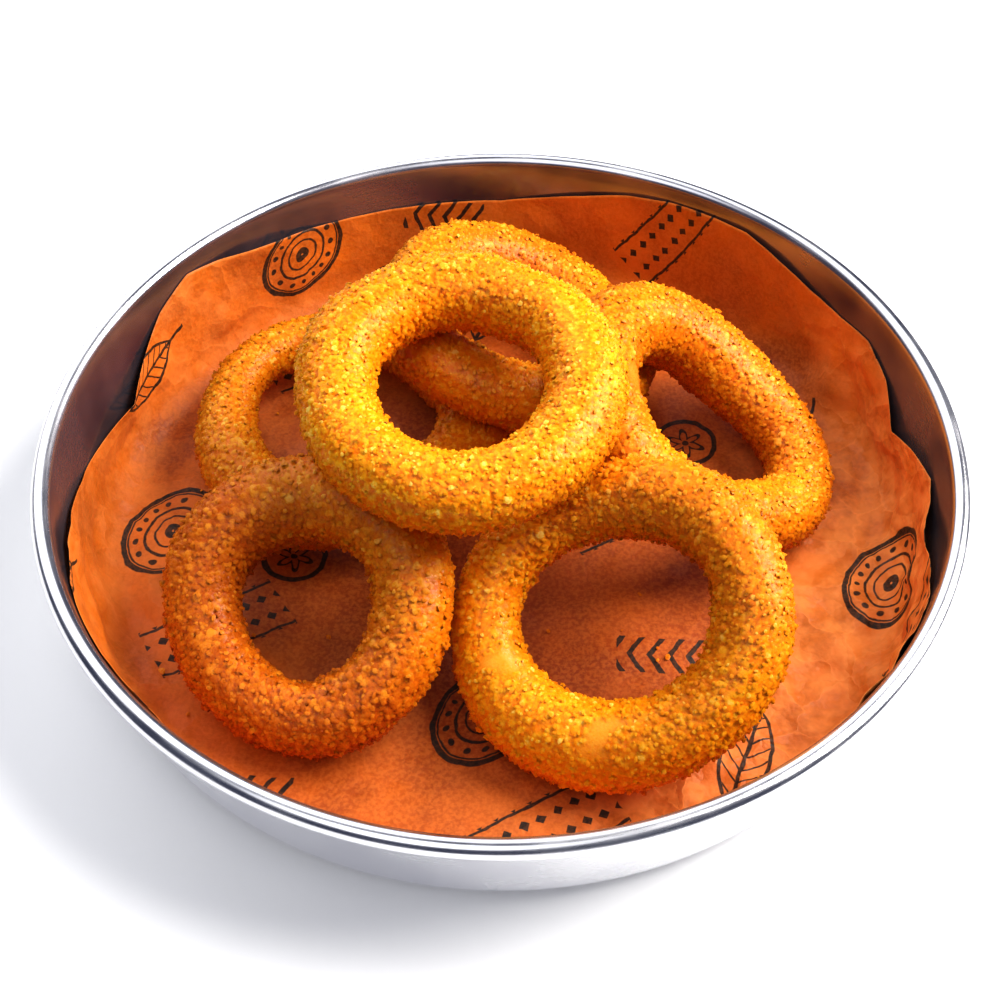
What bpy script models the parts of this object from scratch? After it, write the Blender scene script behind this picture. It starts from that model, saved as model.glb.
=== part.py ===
"""Onion rings side: a heap of crumbed onion rings on a paper liner in a round steel dish.

Metres, +Z up. The origin is under the middle of the dish's flat base, and +Y points to the
back of the dish, where the liner climbs highest.
"""

import math

import bpy
from mathutils import Matrix, Vector

MM = 0.001
GAP = 0.3 * MM                # clearance between pieces that touch

# Dish: a spun sheet with a flat base, a round corner, a steep wall and a rolled bead.
RIM_RADIUS = 97.0 * MM        # clear radius inside the bead
BEAD_HEIGHT = 32.0 * MM       # middle of the bead above the base
BEAD_RADIUS = 2.2 * MM
BEAD_STARTS = math.radians(168)  # where the bead leaves the wall's inner face
BEAD_ENDS = math.radians(-132)   # where it meets the wall's outer face
BEAD_STEPS = 10
SHEET = 0.8 * MM
CORNER_RADIUS = 9.0 * MM      # between floor and wall, on the inside
WALL_ANGLE = math.radians(80)  # slope of the wall above the horizontal
TURN_STEPS = 56               # facets round the dish and the liner
CORNER_STEPS = 4
MERGE = 0.00005               # metres, where the turned sheet closes on itself
DISH_CREASE = 50              # degrees: sharper edges stay sharp
LINER_CREASE = 40

# Liner: one sheet of greaseproof paper pressed into the dish.
PAPER = 0.5 * MM
WALL_ROWS = 4
# Height of the liner's uneven edge above the base: (degrees round from +X, millimetres).
EDGE = [(3, 24), (13, 17), (23, 26), (35, 24), (50, 30), (68, 29.5), (89, 23), (116, 24),
        (143, 30), (160, 16), (173, 17), (190, 26), (203, 28), (235, 23), (262, 26),
        (295, 22), (338, 29), (352, 22)]
# Pleats where the spare paper stands off the wall: (degrees, depth in millimetres, half width).
PLEATS = [(10, 2.6, 11), (44, 1.4, 9), (78, 1.0, 12), (128, 1.6, 11), (161, 3.0, 11),
          (184, 1.6, 9), (222, 1.4, 12), (270, 1.2, 12), (312, 1.6, 11), (350, 2.0, 9)]

# Rings, in millimetres and degrees. lean tips the ring's axis towards +X and +Y.
# oval and lobes make the circle uneven, fat thickens one side, swell two opposite sides,
# and warp lifts two opposite sides: each is (amount, direction round the ring).
RINGS = {
    "ring_left": dict(centre=(-36.0, 29.0, 12.3), lean=(0, 4), radius=29.6, thick=8.2,
                      oval=(0.005, 83), lobes=(0.036, 1), fat=(0.16, -37),
                      swell=(0.09, 48), warp=(0.6, -35)),
    "ring_back": dict(centre=(3.3, 49.7, 22.6), lean=(22, 9), radius=27.5, thick=8.4,
                      oval=(0.048, 57), lobes=(0.034, -7), fat=(0.06, 25),
                      swell=(0.06, 77), warp=(0.5, -23)),
    "ring_right": dict(centre=(44.8, 17.3, 23.1), lean=(30, 0), radius=26.6, thick=8.9,
                       oval=(0.050, -44), lobes=(0.037, 6), fat=(0.07, 120),
                       swell=(0.06, 88), warp=(0.9, -44)),
    "ring_front_right": dict(centre=(23.8, -40.2, 24.8), lean=(-21, -25), radius=27.7,
                             thick=8.6, oval=(0.065, 4), lobes=(0.019, 37), fat=(0.08, -62),
                             swell=(0.06, 63), warp=(1.1, 54)),
    "ring_front_left": dict(centre=(-41.1, -32.5, 20.1), lean=(-11, -23), radius=23.6,
                            thick=8.8, oval=(0.041, -58), lobes=(0.028, 31), fat=(0.10, 77),
                            swell=(0.04, -76), warp=(0.4, 11)),
    "ring_top": dict(centre=(-8.9, 3.3, 49.4), lean=(-2, -3), radius=27.6, thick=9.1,
                     oval=(0.041, -75), lobes=(0.017, 1), fat=(0.01, 176),
                     swell=(0.01, -66), warp=(0.4, -5)),
}
FLATTEN = 0.92                # a ring's thickness along its axis, over that across it
LUMP = 0.012                  # bumps in the crust, over the thickness
LUMPS_ROUND = 5               # how many bumps round the ring
LUMPS_ACROSS = 3              # how many round its section
RING_STEPS = 30
SECTION_STEPS = 12

# Finishes: colour, roughness and how metallic.
STEEL = ((0.78, 0.78, 0.80), 0.16, 1.0)
ORANGE_PAPER = ((0.80, 0.25, 0.04), 0.62, 0.0)
CRUMBS = ((0.84, 0.42, 0.05), 0.50, 0.0)


def clear_scene():
    for item in list(bpy.data.objects):
        bpy.data.objects.remove(item, do_unlink=True)


def make_material(name, colour, roughness, metallic):
    material = bpy.data.materials.new(name)
    material.use_nodes = True
    shader = material.node_tree.nodes["Principled BSDF"]
    shader.inputs["Base Color"].default_value = (*colour, 1.0)
    shader.inputs["Roughness"].default_value = roughness
    shader.inputs["Metallic"].default_value = metallic
    material.diffuse_color = (*colour, 1.0)
    return material


def add_object(name, mesh, collection, material):
    item = bpy.data.objects.new(name, mesh)
    collection.objects.link(item)
    mesh.materials.clear()
    mesh.materials.append(material)
    return item


def shade_round(mesh, angle):
    mesh.shade_smooth()
    mesh.set_sharp_from_angle(angle=math.radians(angle))


def corner_centre():
    """Centre of the round corner in the dish's section, as (radius, height)."""
    height = SHEET + CORNER_RADIUS
    corner_top = height - CORNER_RADIUS * math.cos(WALL_ANGLE)
    wall_run = (BEAD_HEIGHT - corner_top) / math.tan(WALL_ANGLE)
    return RIM_RADIUS - wall_run - CORNER_RADIUS * math.sin(WALL_ANGLE), height


def corner_arc(radius, steps):
    """Points from the floor up to the foot of the wall, on an arc about the corner's centre."""
    middle, height = corner_centre()
    turns = [WALL_ANGLE * step / steps for step in range(steps + 1)]
    return [(middle + radius * math.sin(turn), height - radius * math.cos(turn)) for turn in turns]


def wall_point(foot, height):
    """The point at this height on the straight wall that rises from its foot."""
    return foot[0] + (height - foot[1]) / math.tan(WALL_ANGLE), height


def turned_mesh(name, profile):
    """The mesh of a profile, given as (radius, height), turned about the Z axis."""
    mesh = bpy.data.meshes.new(name)
    edges = [(index, index + 1) for index in range(len(profile) - 1)]
    mesh.from_pydata([(radius, 0, height) for radius, height in profile], edges, [])
    guide = bpy.data.objects.new(name, mesh)
    bpy.context.scene.collection.objects.link(guide)
    screw = guide.modifiers.new("turn", "SCREW")
    screw.steps = TURN_STEPS
    screw.render_steps = TURN_STEPS
    screw.use_merge_vertices = True
    screw.merge_threshold = MERGE
    bpy.context.view_layer.update()
    depsgraph = bpy.context.evaluated_depsgraph_get()
    turned = bpy.data.meshes.new_from_object(guide.evaluated_get(depsgraph))
    bpy.data.objects.remove(guide)
    turned.name = name
    return turned


def dish_profile():
    inner = corner_arc(CORNER_RADIUS, CORNER_STEPS)
    outer = corner_arc(CORNER_RADIUS + SHEET, CORNER_STEPS)
    bead_middle = RIM_RADIUS + BEAD_RADIUS
    turns = [BEAD_STARTS + (BEAD_ENDS - BEAD_STARTS) * step / BEAD_STEPS
             for step in range(BEAD_STEPS + 1)]
    bead = [(bead_middle + BEAD_RADIUS * math.cos(turn), BEAD_HEIGHT + BEAD_RADIUS * math.sin(turn))
            for turn in turns]
    return [(0, SHEET)] + inner + bead + outer[::-1] + [(0, 0)]


def make_dish(collection, material):
    mesh = turned_mesh("dish", dish_profile())
    shade_round(mesh, DISH_CREASE)
    return add_object("dish", mesh, collection, material)


def around(angle, middle):
    """Degrees from middle to angle, between -180 and 180."""
    return (angle - middle + 180) % 360 - 180


def edge_height(angle):
    """Height of the liner's edge at an angle, on straight runs between the points of EDGE."""
    points = [(EDGE[-1][0] - 360, EDGE[-1][1])] + EDGE + [(EDGE[0][0] + 360, EDGE[0][1])]
    for (start, low), (end, high) in zip(points, points[1:]):
        if start <= angle <= end:
            return (low + (high - low) * (angle - start) / (end - start)) * MM
    return points[0][1] * MM


def pleat_depth(angle):
    """How far the paper stands off the wall at an angle, in a ridge about each pleat's middle."""
    depths = [depth * max(0.0, 1 - abs(around(angle, middle)) / width)
              for middle, depth, width in PLEATS]
    return max(depths) * MM


def make_liner(collection, material):
    """The floor, corner and wall of a turned sheet, its wall rows moved to the uneven edge."""
    offset = GAP + PAPER / 2
    corner = corner_arc(CORNER_RADIUS - offset, CORNER_STEPS)
    foot = corner[-1]
    top = wall_point(foot, BEAD_HEIGHT)
    wall = [wall_point(foot, foot[1] + (top[1] - foot[1]) * row / WALL_ROWS)
            for row in range(1, WALL_ROWS + 1)]
    floor_height = SHEET + offset
    floor = [(0, floor_height), (corner[0][0] / 2, floor_height)]
    mesh = turned_mesh("paper_liner", floor + corner + wall)
    for vertex in mesh.vertices:
        if vertex.co.z < foot[1] + GAP:
            continue
        angle = math.degrees(math.atan2(vertex.co.y, vertex.co.x)) % 360
        climb = (vertex.co.z - foot[1]) / (top[1] - foot[1])
        radius, height = wall_point(foot, foot[1] + climb * (edge_height(angle) - foot[1]))
        radius -= climb * pleat_depth(angle)
        turn = math.radians(angle)
        vertex.co = (radius * math.cos(turn), radius * math.sin(turn), height)
    item = add_object("paper_liner", mesh, collection, material)
    skin = item.modifiers.new("paper", "SOLIDIFY")
    skin.thickness = PAPER
    skin.offset = 0
    shade_round(mesh, LINER_CREASE)
    return item


def ring_axes(lean):
    """Columns of a turn that tips +Z by the lean, keeping the ring's first axis over +X."""
    axis = Vector((math.sin(math.radians(lean[0])), math.sin(math.radians(lean[1])), 0))
    axis.z = math.sqrt(1 - axis.x ** 2 - axis.y ** 2)
    second = axis.cross(Vector((1, 0, 0))).normalized()
    return Matrix((second.cross(axis), second, axis)).transposed()


def wave(turn, lobes, amount, direction):
    """A cosine with this many lobes round the ring, its first crest at the direction."""
    return amount * math.cos(lobes * (turn - math.radians(direction)))


def make_ring(name, shape, collection, material):
    """A torus whose circle, thickness and level all vary round the ring."""
    radius, thick = shape["radius"] * MM, shape["thick"] * MM
    bpy.ops.mesh.primitive_torus_add(major_radius=radius, minor_radius=thick,
                                     major_segments=RING_STEPS, minor_segments=SECTION_STEPS)
    item = bpy.context.object
    mesh = item.data
    for vertex in mesh.vertices:
        turn = math.atan2(vertex.co.y, vertex.co.x)
        section = math.atan2(vertex.co.z, math.hypot(vertex.co.x, vertex.co.y) - radius)
        middle = radius * (1 + wave(turn, 2, *shape["oval"]) + wave(turn, 3, *shape["lobes"]))
        width = thick * (1 + wave(turn, 1, *shape["fat"]) + wave(turn, 2, *shape["swell"]))
        width *= 1 + (LUMP * math.sin(LUMPS_ROUND * turn + shape["radius"])
                      * math.sin(LUMPS_ACROSS * section))
        reach = middle + width * math.cos(section)
        level = wave(turn, 2, *shape["warp"]) * MM + FLATTEN * width * math.sin(section)
        vertex.co = (reach * math.cos(turn), reach * math.sin(turn), level)
    item.name = name
    mesh.name = name
    mesh.materials.clear()
    mesh.materials.append(material)
    mesh.shade_smooth()
    item.location = Vector(shape["centre"]) * MM
    item.rotation_euler = ring_axes(shape["lean"]).to_euler()
    for owner in item.users_collection:
        owner.objects.unlink(item)
    collection.objects.link(item)
    return item


def main():
    clear_scene()
    collection = bpy.data.collections.new("onion_rings_side")
    bpy.context.scene.collection.children.link(collection)
    make_dish(collection, make_material("polished_steel", *STEEL))
    make_liner(collection, make_material("orange_paper", *ORANGE_PAPER))
    for name, shape in RINGS.items():
        make_ring(name, shape, collection, make_material(name + "_crumbs", *CRUMBS))


main()
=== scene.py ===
# Onion rings side: six crumbed rings heaped on an orange paper liner in a spun steel dish.
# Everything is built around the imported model, in metres, with +Z up.
import math

import bpy
import numpy as np
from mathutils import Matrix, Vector


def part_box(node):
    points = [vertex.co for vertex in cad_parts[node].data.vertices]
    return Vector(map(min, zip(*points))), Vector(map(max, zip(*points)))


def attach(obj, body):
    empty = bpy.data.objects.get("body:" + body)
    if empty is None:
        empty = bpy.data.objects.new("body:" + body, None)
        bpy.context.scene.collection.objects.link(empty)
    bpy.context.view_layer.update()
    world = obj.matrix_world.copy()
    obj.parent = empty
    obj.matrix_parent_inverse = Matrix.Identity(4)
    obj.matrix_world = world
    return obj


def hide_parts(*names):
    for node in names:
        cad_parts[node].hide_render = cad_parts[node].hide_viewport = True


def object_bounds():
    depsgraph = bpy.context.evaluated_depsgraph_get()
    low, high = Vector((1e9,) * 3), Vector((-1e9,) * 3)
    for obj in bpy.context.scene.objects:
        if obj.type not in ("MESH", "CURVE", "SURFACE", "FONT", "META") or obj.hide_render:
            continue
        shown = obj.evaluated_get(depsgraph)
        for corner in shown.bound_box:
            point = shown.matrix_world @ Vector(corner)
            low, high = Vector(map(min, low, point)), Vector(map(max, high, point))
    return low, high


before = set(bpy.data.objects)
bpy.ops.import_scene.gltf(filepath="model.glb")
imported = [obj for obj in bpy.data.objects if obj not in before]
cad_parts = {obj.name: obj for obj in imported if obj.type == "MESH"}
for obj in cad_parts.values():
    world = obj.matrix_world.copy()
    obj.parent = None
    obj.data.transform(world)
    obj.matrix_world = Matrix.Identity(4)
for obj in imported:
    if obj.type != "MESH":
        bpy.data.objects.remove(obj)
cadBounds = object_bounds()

mm = 0.001
fullTurn = 2 * math.pi


def addMesh(name, points, faces, attributes=None, leanTo=None, lean=0.0):
    # a smooth piece; faces is a list of index arrays, each with its own number of corners a face
    mesh = bpy.data.meshes.new(name)
    corners = np.concatenate([part.ravel() for part in faces])
    sides = np.concatenate([np.full(len(part), part.shape[1]) for part in faces])
    starts = np.concatenate([[0], np.cumsum(sides)[:-1]])
    mesh.vertices.add(len(points))
    mesh.vertices.foreach_set("co", np.asarray(points, np.float32).ravel())
    mesh.loops.add(len(corners))
    mesh.loops.foreach_set("vertex_index", corners.astype(np.int32))
    mesh.polygons.add(len(sides))
    mesh.polygons.foreach_set("loop_start", starts.astype(np.int32))
    mesh.polygons.foreach_set("use_smooth", np.full(len(sides), True))
    mesh.update(calc_edges=True)
    mesh.validate()
    for key, values in (attributes or {}).items():
        layer = mesh.attributes.new(key, "FLOAT", "POINT")
        layer.data.foreach_set("value", np.asarray(values, np.float32).ravel())
    if leanTo is not None:        # shading leans from the face's own normals towards these: softer
        own = np.zeros(len(mesh.vertices) * 3, np.float32)
        mesh.vertex_normals.foreach_get("vector", own)
        blend = own.reshape(-1, 3) * (1 - lean) + np.asarray(leanTo).reshape(-1, 3) * lean
        mesh.normals_split_custom_set_from_vertices(blend / np.linalg.norm(blend, axis=1)[:, None])
    piece = bpy.data.objects.new(name, mesh)
    bpy.context.scene.collection.objects.link(piece)
    return piece


def gridFaces(rows, columns, closeRows=False, closeColumns=False):
    # quads between neighbouring grid points; a closed direction joins its last line to its first
    row = np.arange(rows if closeRows else rows - 1)[:, None]
    column = np.arange(columns if closeColumns else columns - 1)[None, :]
    nextRow, nextColumn = (row + 1) % rows, (column + 1) % columns
    quads = np.stack([row * columns + column, row * columns + nextColumn,
                      nextRow * columns + nextColumn, nextRow * columns + column], -1)
    return quads.reshape(-1, 4)


def cornerValue(x, y, z, seed):
    # a number from 0 to 1 scrambled from whole-number coordinates
    mixed = (x * 73856093) ^ (y * 19349663) ^ (z * 83492791) ^ (seed * 2654435761)
    mixed = (mixed ^ (mixed >> 13)) * 1274126177 & 0xFFFFFFFF
    mixed = (mixed ^ (mixed >> 16)) * 668265263 & 0xFFFFFFFF
    return ((mixed ^ (mixed >> 15)) & 0xFFFF) / 65535.0


def softNoise(points, size, seed):
    # value noise from -1 to 1: random values on a lattice of this size, blended with 3t^2-2t^3
    scaled = np.asarray(points) / size + 1000.0
    whole = np.floor(scaled).astype(np.int64)
    part = scaled - whole
    part = part * part * (3 - 2 * part)
    total = 0.0
    for corner in range(8):
        dx, dy, dz = corner & 1, (corner >> 1) & 1, (corner >> 2) & 1
        weight = (np.abs(1 - dx - part[..., 0]) * np.abs(1 - dy - part[..., 1])
                  * np.abs(1 - dz - part[..., 2]))
        total = total + weight * cornerValue(whole[..., 0] + dx, whole[..., 1] + dy,
                                             whole[..., 2] + dz, seed)
    return total * 2 - 1


def around(radius, angle, height):
    # points (r cos a, r sin a, z) from radii, angles and heights
    x, y = radius * np.cos(angle), radius * np.sin(angle)
    return np.stack(np.broadcast_arrays(x, y, height), -1)


def fanFaces(tip, first, count, flip=False):
    # triangles from one point to a closed line of points, which starts at first
    line = first + np.arange(count)
    after = first + (np.arange(count) + 1) % count
    return np.stack([np.full(count, tip), *((after, line) if flip else (line, after))], -1)


def smoothStep(low, high, value):
    # 0 below low, 1 above high, 3t^2-2t^3 between
    t = np.clip((value - low) / (high - low), 0, 1)
    return t * t * (3 - 2 * t)


def cadPoints(node):
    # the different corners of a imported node's mesh
    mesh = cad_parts[node].data
    points = np.zeros(len(mesh.vertices) * 3, np.float32)
    mesh.vertices.foreach_get("co", points)
    return np.unique(np.round(points.reshape(-1, 3).astype(float), 6), axis=0)


def feed(tree, node, inputs):
    # links each input to an output, or sets a plain value on it
    for key, value in inputs.items():
        if isinstance(value, bpy.types.NodeSocket):
            tree.links.new(value, node.inputs[key])
        else:
            node.inputs[key].default_value = value


def put(tree, kind, options=None, inputs=None, out=0):
    # adds a shader node of this kind, sets its options, feeds its inputs, and returns one output
    node = tree.nodes.new("ShaderNode" + kind)
    for key, value in (options or {}).items():
        setattr(node, key, value)
    feed(tree, node, inputs or {})
    return node.outputs[out]


def calc(tree, operation, first, second=0.0, third=0.0, clamp=False):
    # one step of arithmetic between values
    return put(tree, "Math", {"operation": operation, "use_clamp": clamp},
               {0: first, 1: second, 2: third})


def ramp(tree, value, stops):
    # a colour ramp through (position, colour) stops
    output = put(tree, "ValToRGB", None, {0: value})
    elements = output.node.color_ramp.elements
    while len(elements) < len(stops):
        elements.new(0.5)
    for element, (position, colour) in zip(elements, stops):
        element.position = position
        element.color = (*colour, 1)
    return output


def newMaterial(name, settings):
    # a Principled material with plain values set straight on the shader
    material = bpy.data.materials.new(name)
    material.use_nodes = True
    tree = material.node_tree
    shader = tree.nodes["Principled BSDF"]
    feed(tree, shader, settings)
    return material, tree, shader


def mixColours(tree, amount, first, second):
    # inputs 0, 6 and 7 of a Mix node are its amount and its two colours
    return put(tree, "Mix", {"data_type": "RGBA"},
               {0: amount, 6: first, 7: second}, out=2)


def between(tree, value, start, end, low=0.0, high=1.0, soft=True):
    # low where the value is at start and high where it is at end
    kind = "SMOOTHSTEP" if soft else "LINEAR"
    return put(tree, "MapRange", {"interpolation_type": kind},
               {0: value, 1: start, 2: end, 3: low, 4: high})


def lengthOf(tree, x, y):
    # root of x squared plus y squared
    return calc(tree, "SQRT", calc(tree, "MULTIPLY_ADD", x, x, calc(tree, "MULTIPLY", y, y)))


def splitPoint(tree, point):
    # the x, y and z of a point
    return put(tree, "SeparateXYZ", None, {0: point}).node.outputs


def meshValues(tree, *names):
    # the values that the mesh holds under these names
    return [put(tree, "Attribute", {"attribute_name": name}, out=2) for name in names]


def finish(tree, shader, looks, height, inputs):
    # feeds the shader what changes over the surface, and a bump from the height
    bump = put(tree, "Bump", None, {
        "Strength": looks["bumpStrength"], "Distance": looks["bumpDepth"], "Height": height})
    feed(tree, shader, {**inputs, "Normal": bump})


def place(piece, material, slot, *nodes):
    # gives a finished piece its material and its place in the frame
    piece.data.materials.clear()
    piece.data.materials.append(material)
    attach(piece, "root")
    if nodes:
        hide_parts(*nodes)
    return piece


def objectPoint(tree):
    # object coordinates, the same as the world's, because every piece sits at the origin
    return put(tree, "TexCoord", out=3)


def newGroup(name, inputs, outputs):
    # an empty node group, and the sockets inside it that give its inputs and take its outputs
    group = bpy.data.node_groups.new(name, "ShaderNodeTree")
    for way, sockets in (("INPUT", inputs), ("OUTPUT", outputs)):
        for socket in sockets:
            kind = "NodeSocketVector" if socket == "Vector" else "NodeSocketFloat"
            group.interface.new_socket(socket, in_out=way, socket_type=kind)
    given = group.nodes.new("NodeGroupInput").outputs
    return group, given, group.nodes.new("NodeGroupOutput").inputs


def useGroup(tree, group, inputs):
    # the outputs of a node that uses this group
    return put(tree, "Group", {"node_tree": group}, inputs).node.outputs


def grainGroup():
    # fine unevenness that the crumbs, the paper and the steel share: a mask and a height
    group, given, result = newGroup("fineGrain", ("Vector", "Scale", "Detail"), ("Mask", "Height"))
    noise = put(group, "TexNoise", None, {
        "Vector": given[0], "Scale": given[1], "Detail": given[2], "Roughness": 0.6})
    group.links.new(between(group, noise, 0.35, 0.65), result[0])
    group.links.new(noise, result[1])
    return group


fineGrain = grainGroup()


def grain(tree, point, scale, detail):
    # the fine grain at this scale, as a mask and a height
    return useGroup(tree, fineGrain, {"Vector": point, "Scale": scale, "Detail": detail})


dish = {
    "beadRadius": 2.2 * mm,
    "beadHeight": 32.0 * mm,      # middle of the rolled bead
    "sheet": 0.8 * mm,
    "cornerRadius": 9.0 * mm,
    "wallSlope": math.radians(80),
    "beadStarts": math.radians(168),
    "beadEnds": math.radians(-140),
    "segments": 360,
    "cornerRows": 12,
    "wallRows": 8,
    "beadRows": 36,
    "floorRows": 14,
    "curlGap": 0.2 * mm,          # the curl stops just short of the wall
    "insideShadeRows": 8,                # the painted shade inside ends this many bead rows past the wall
}
dish["rim"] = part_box("dish")[1].x - 2 * dish["beadRadius"]   # clear radius inside the bead
dish["cornerHeight"] = dish["sheet"] + dish["cornerRadius"]
dish["cornerMiddle"] = (
    dish["rim"] - dish["cornerRadius"] * math.sin(dish["wallSlope"])
    - (dish["beadHeight"] - dish["cornerHeight"]
       + dish["cornerRadius"] * math.cos(dish["wallSlope"])) / math.tan(dish["wallSlope"]))


def cornerArc(radius, rows):
    # an arc of this radius about the corner's centre, from pointing down to square with the wall
    turn = np.linspace(0, dish["wallSlope"], rows)
    return np.stack([dish["cornerMiddle"] + radius * np.sin(turn),
                     dish["cornerHeight"] - radius * np.cos(turn)], -1)


def straight(start, end, rows):
    # points between two ends, both left out
    part = np.linspace(0, 1, rows + 2)[1:-1, None]
    return np.asarray(start) * (1 - part) + np.asarray(end) * part


def dishProfile():
    # from the middle of the floor out, up the wall, round the bead and back underneath
    inner = cornerArc(dish["cornerRadius"], dish["cornerRows"])
    outer = cornerArc(dish["cornerRadius"] + dish["sheet"], dish["cornerRows"])[::-1]
    turn = np.linspace(dish["beadStarts"], dish["beadEnds"], dish["beadRows"])
    bead = np.stack([dish["rim"] + dish["beadRadius"] * (1 + np.cos(turn)),
                     dish["beadHeight"] + dish["beadRadius"] * np.sin(turn)], -1)
    drop = bead[-1][1] - outer[0][1] - dish["curlGap"]
    lip = outer[0] + drop * np.array([1 / math.tan(dish["wallSlope"]), 1])
    floorTop = straight((0, dish["sheet"]), inner[0], dish["floorRows"])
    floorUnder = straight(outer[-1], (0, 0), dish["floorRows"])
    return np.concatenate([floorTop, inner, straight(inner[-1], bead[0], dish["wallRows"]), bead,
                           [lip], straight(lip, outer[0], dish["wallRows"]), outer, floorUnder])


def makeDish():
    # surface of revolution: the profile's radii and heights carried round a full turn
    profile, segments = dishProfile(), dish["segments"]
    angle = np.arange(segments) * fullTurn / segments
    points = around(profile[:, :1], angle, profile[:, 1:]).reshape(-1, 3)
    quads = gridFaces(len(profile), segments, closeColumns=True)
    caps = [fanFaces(len(points), 0, segments, flip=True),
            fanFaces(len(points) + 1, len(points) - segments, segments)]
    points = np.concatenate([points, [[0, 0, dish["sheet"]], [0, 0, 0]]])
    beadStart = dish["floorRows"] + dish["cornerRows"] + dish["wallRows"]
    inside = smoothStep(beadStart + dish["insideShadeRows"], beadStart - 1, np.arange(len(profile)))
    inside = np.append(np.repeat(inside, segments), [1, 0])
    return addMesh("dish_steel", points, [quads[:, ::-1], *caps], attributes={"inside": inside})


steel = {
    "polished": [(0.76, 0.76, 0.80, 1), (0.84, 0.84, 0.86, 1)],      # outer face and bead
    "shadedInside": [(0.20, 0.185, 0.25, 1), (0.36, 0.33, 0.40, 1)],        # inner face, darker: painted shade for the dark reflection of shaded paper
    "shadeDiffuse": 0.16,              # how much less metal shows inside, so the darker painted shade colour shows
    "roughness": (0.13, 0.24),    # clean to smeared
    "marksRoughness": 0.05,
    "outsideRoughness": 0.03,
    "smearScale": 28.0,
    "marksScale": 2600.0,
    "marksRun": 0.004,            # how fast the marks change along the spinning direction
    "bumpStrength": 0.05,
    "bumpDepth": 0.03 * mm,
}


def steelMaterial():
    # spinning marks run round the dish: noise stretched along the turn, on radius and height
    material, tree, shader = newMaterial("spunSteel", {})
    point = objectPoint(tree)
    x, y, height = splitPoint(tree, point)
    turn = calc(tree, "MULTIPLY", calc(tree, "ARCTAN2", y, x), steel["marksRun"])
    lathe = put(tree, "CombineXYZ", None, {0: lengthOf(tree, x, y), 1: height, 2: turn})
    marks = grain(tree, lathe, steel["marksScale"], 2)
    smear = grain(tree, point, steel["smearScale"], 3)
    inside, = meshValues(tree, "inside")
    polished = mixColours(tree, smear["Mask"], *steel["polished"])
    # painted shade: a darker steel colour inside the dish
    shadedInside = mixColours(tree, smear["Mask"], *steel["shadedInside"])
    rough = between(tree, smear["Mask"], 0, 1, *steel["roughness"], soft=False)
    rough = calc(tree, "MULTIPLY_ADD", marks["Mask"], steel["marksRoughness"], rough)
    outside = steel["outsideRoughness"]
    rough = calc(tree, "ADD", rough, calc(tree, "MULTIPLY_ADD", inside, -outside, outside))
    # painted shade inside: the darker colour and less metal where inside is 1
    finish(tree, shader, steel, marks["Height"], {
        "Base Color": mixColours(tree, inside, polished, shadedInside), "Roughness": rough,
        "Metallic": calc(tree, "MULTIPLY_ADD", inside, -steel["shadeDiffuse"], 1.0)})
    return material


place(makeDish(), steelMaterial(), "polished_steel", "dish")
print("dish: spun steel with a rolled bead")


paper = {
    "clearance": 0.55 * mm,       # middle of the paper above the dish's inner face
    "thickness": 0.10 * mm,
    "segments": 540,
    "floorRows": 46,
    "cornerRows": 12,
    "wallRows": 22,
    "swellSize": 24 * mm,         # soft waves in the floor
    "swell": 0.9 * mm,
    "creaseSize": 15 * mm,        # flat facets between folds
    "crease": 2.7 * mm,
    "crinkleSize": 3.5 * mm,
    "crinkle": 0.10 * mm,
    "deepest": -0.25,             # folds dip this share of a crease below the sheet
    "nearest": -0.25 * mm,        # and no point comes nearer the dish than this
    "wallCrease": 0.5,            # how much of a crease is lost at the top of the wall
    "foldWaves": 5,               # see facets
    "foldTurn": 2.4,
    "foldSizes": (0.8, 0.23),
    "foldBend": 0.8,
    "foldBendSize": 45 * mm,
    "edgeSteps": 56,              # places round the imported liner's edge
    "edgeOutside": 2 * mm,        # its edge points lie at least this far outside the floor
    "edgeBand": 0.35 * mm,        # and this near the highest one beside them
    "span": 300 * mm,             # side of the square that the print's coordinates cover
    "rumpledFrom": (46 * mm, 78 * mm),        # flat in the middle, creased outside this
    "rumpledInside": 0.10,
    "rumpledAround": 0.22,
    "rumpledSides": [(-14, 0.35, 0.85, 0.78), (172, 0.60, 0.95, 0.45)],     # see onSide
    "drift": 9 * mm,              # grease with painted shade, and rubbing with painted sheen, have uneven limits
    "driftSize": 17 * mm,
    # darker in the middle: grease, and painted shade under and between the rings
    "greaseAndShadeFrom": (48 * mm, 72 * mm),
    # darker sides: towards the front, and painted shade in the left ring's hole at the back left
    # and in the rim's shadow at the back right
    "greaseAndShadeSides": [((-100, 0.55, 0.95, 0.70), (200 * mm, 201 * mm)),   # side, and where it ends
                    ((143, 0.86, 0.97, 1.00), (80 * mm, 90 * mm)),
                    ((28, 0.80, 0.98, 0.85), (84 * mm, 96 * mm))],
    "greaseSpots": 0.5,
    "greaseSpotSize": 20 * mm,
    # paler sides: rubbed fibres, with painted sheen and painted light on facets, most at the front
    # right
    "rubbedAndSheenFrom": (52 * mm, 78 * mm),
    "rubbedAndSheenSides": [(-28, 0.25, 0.95, 1.00), (170, 0.50, 0.95, 0.35)],
    "seed": 7,
}


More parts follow.
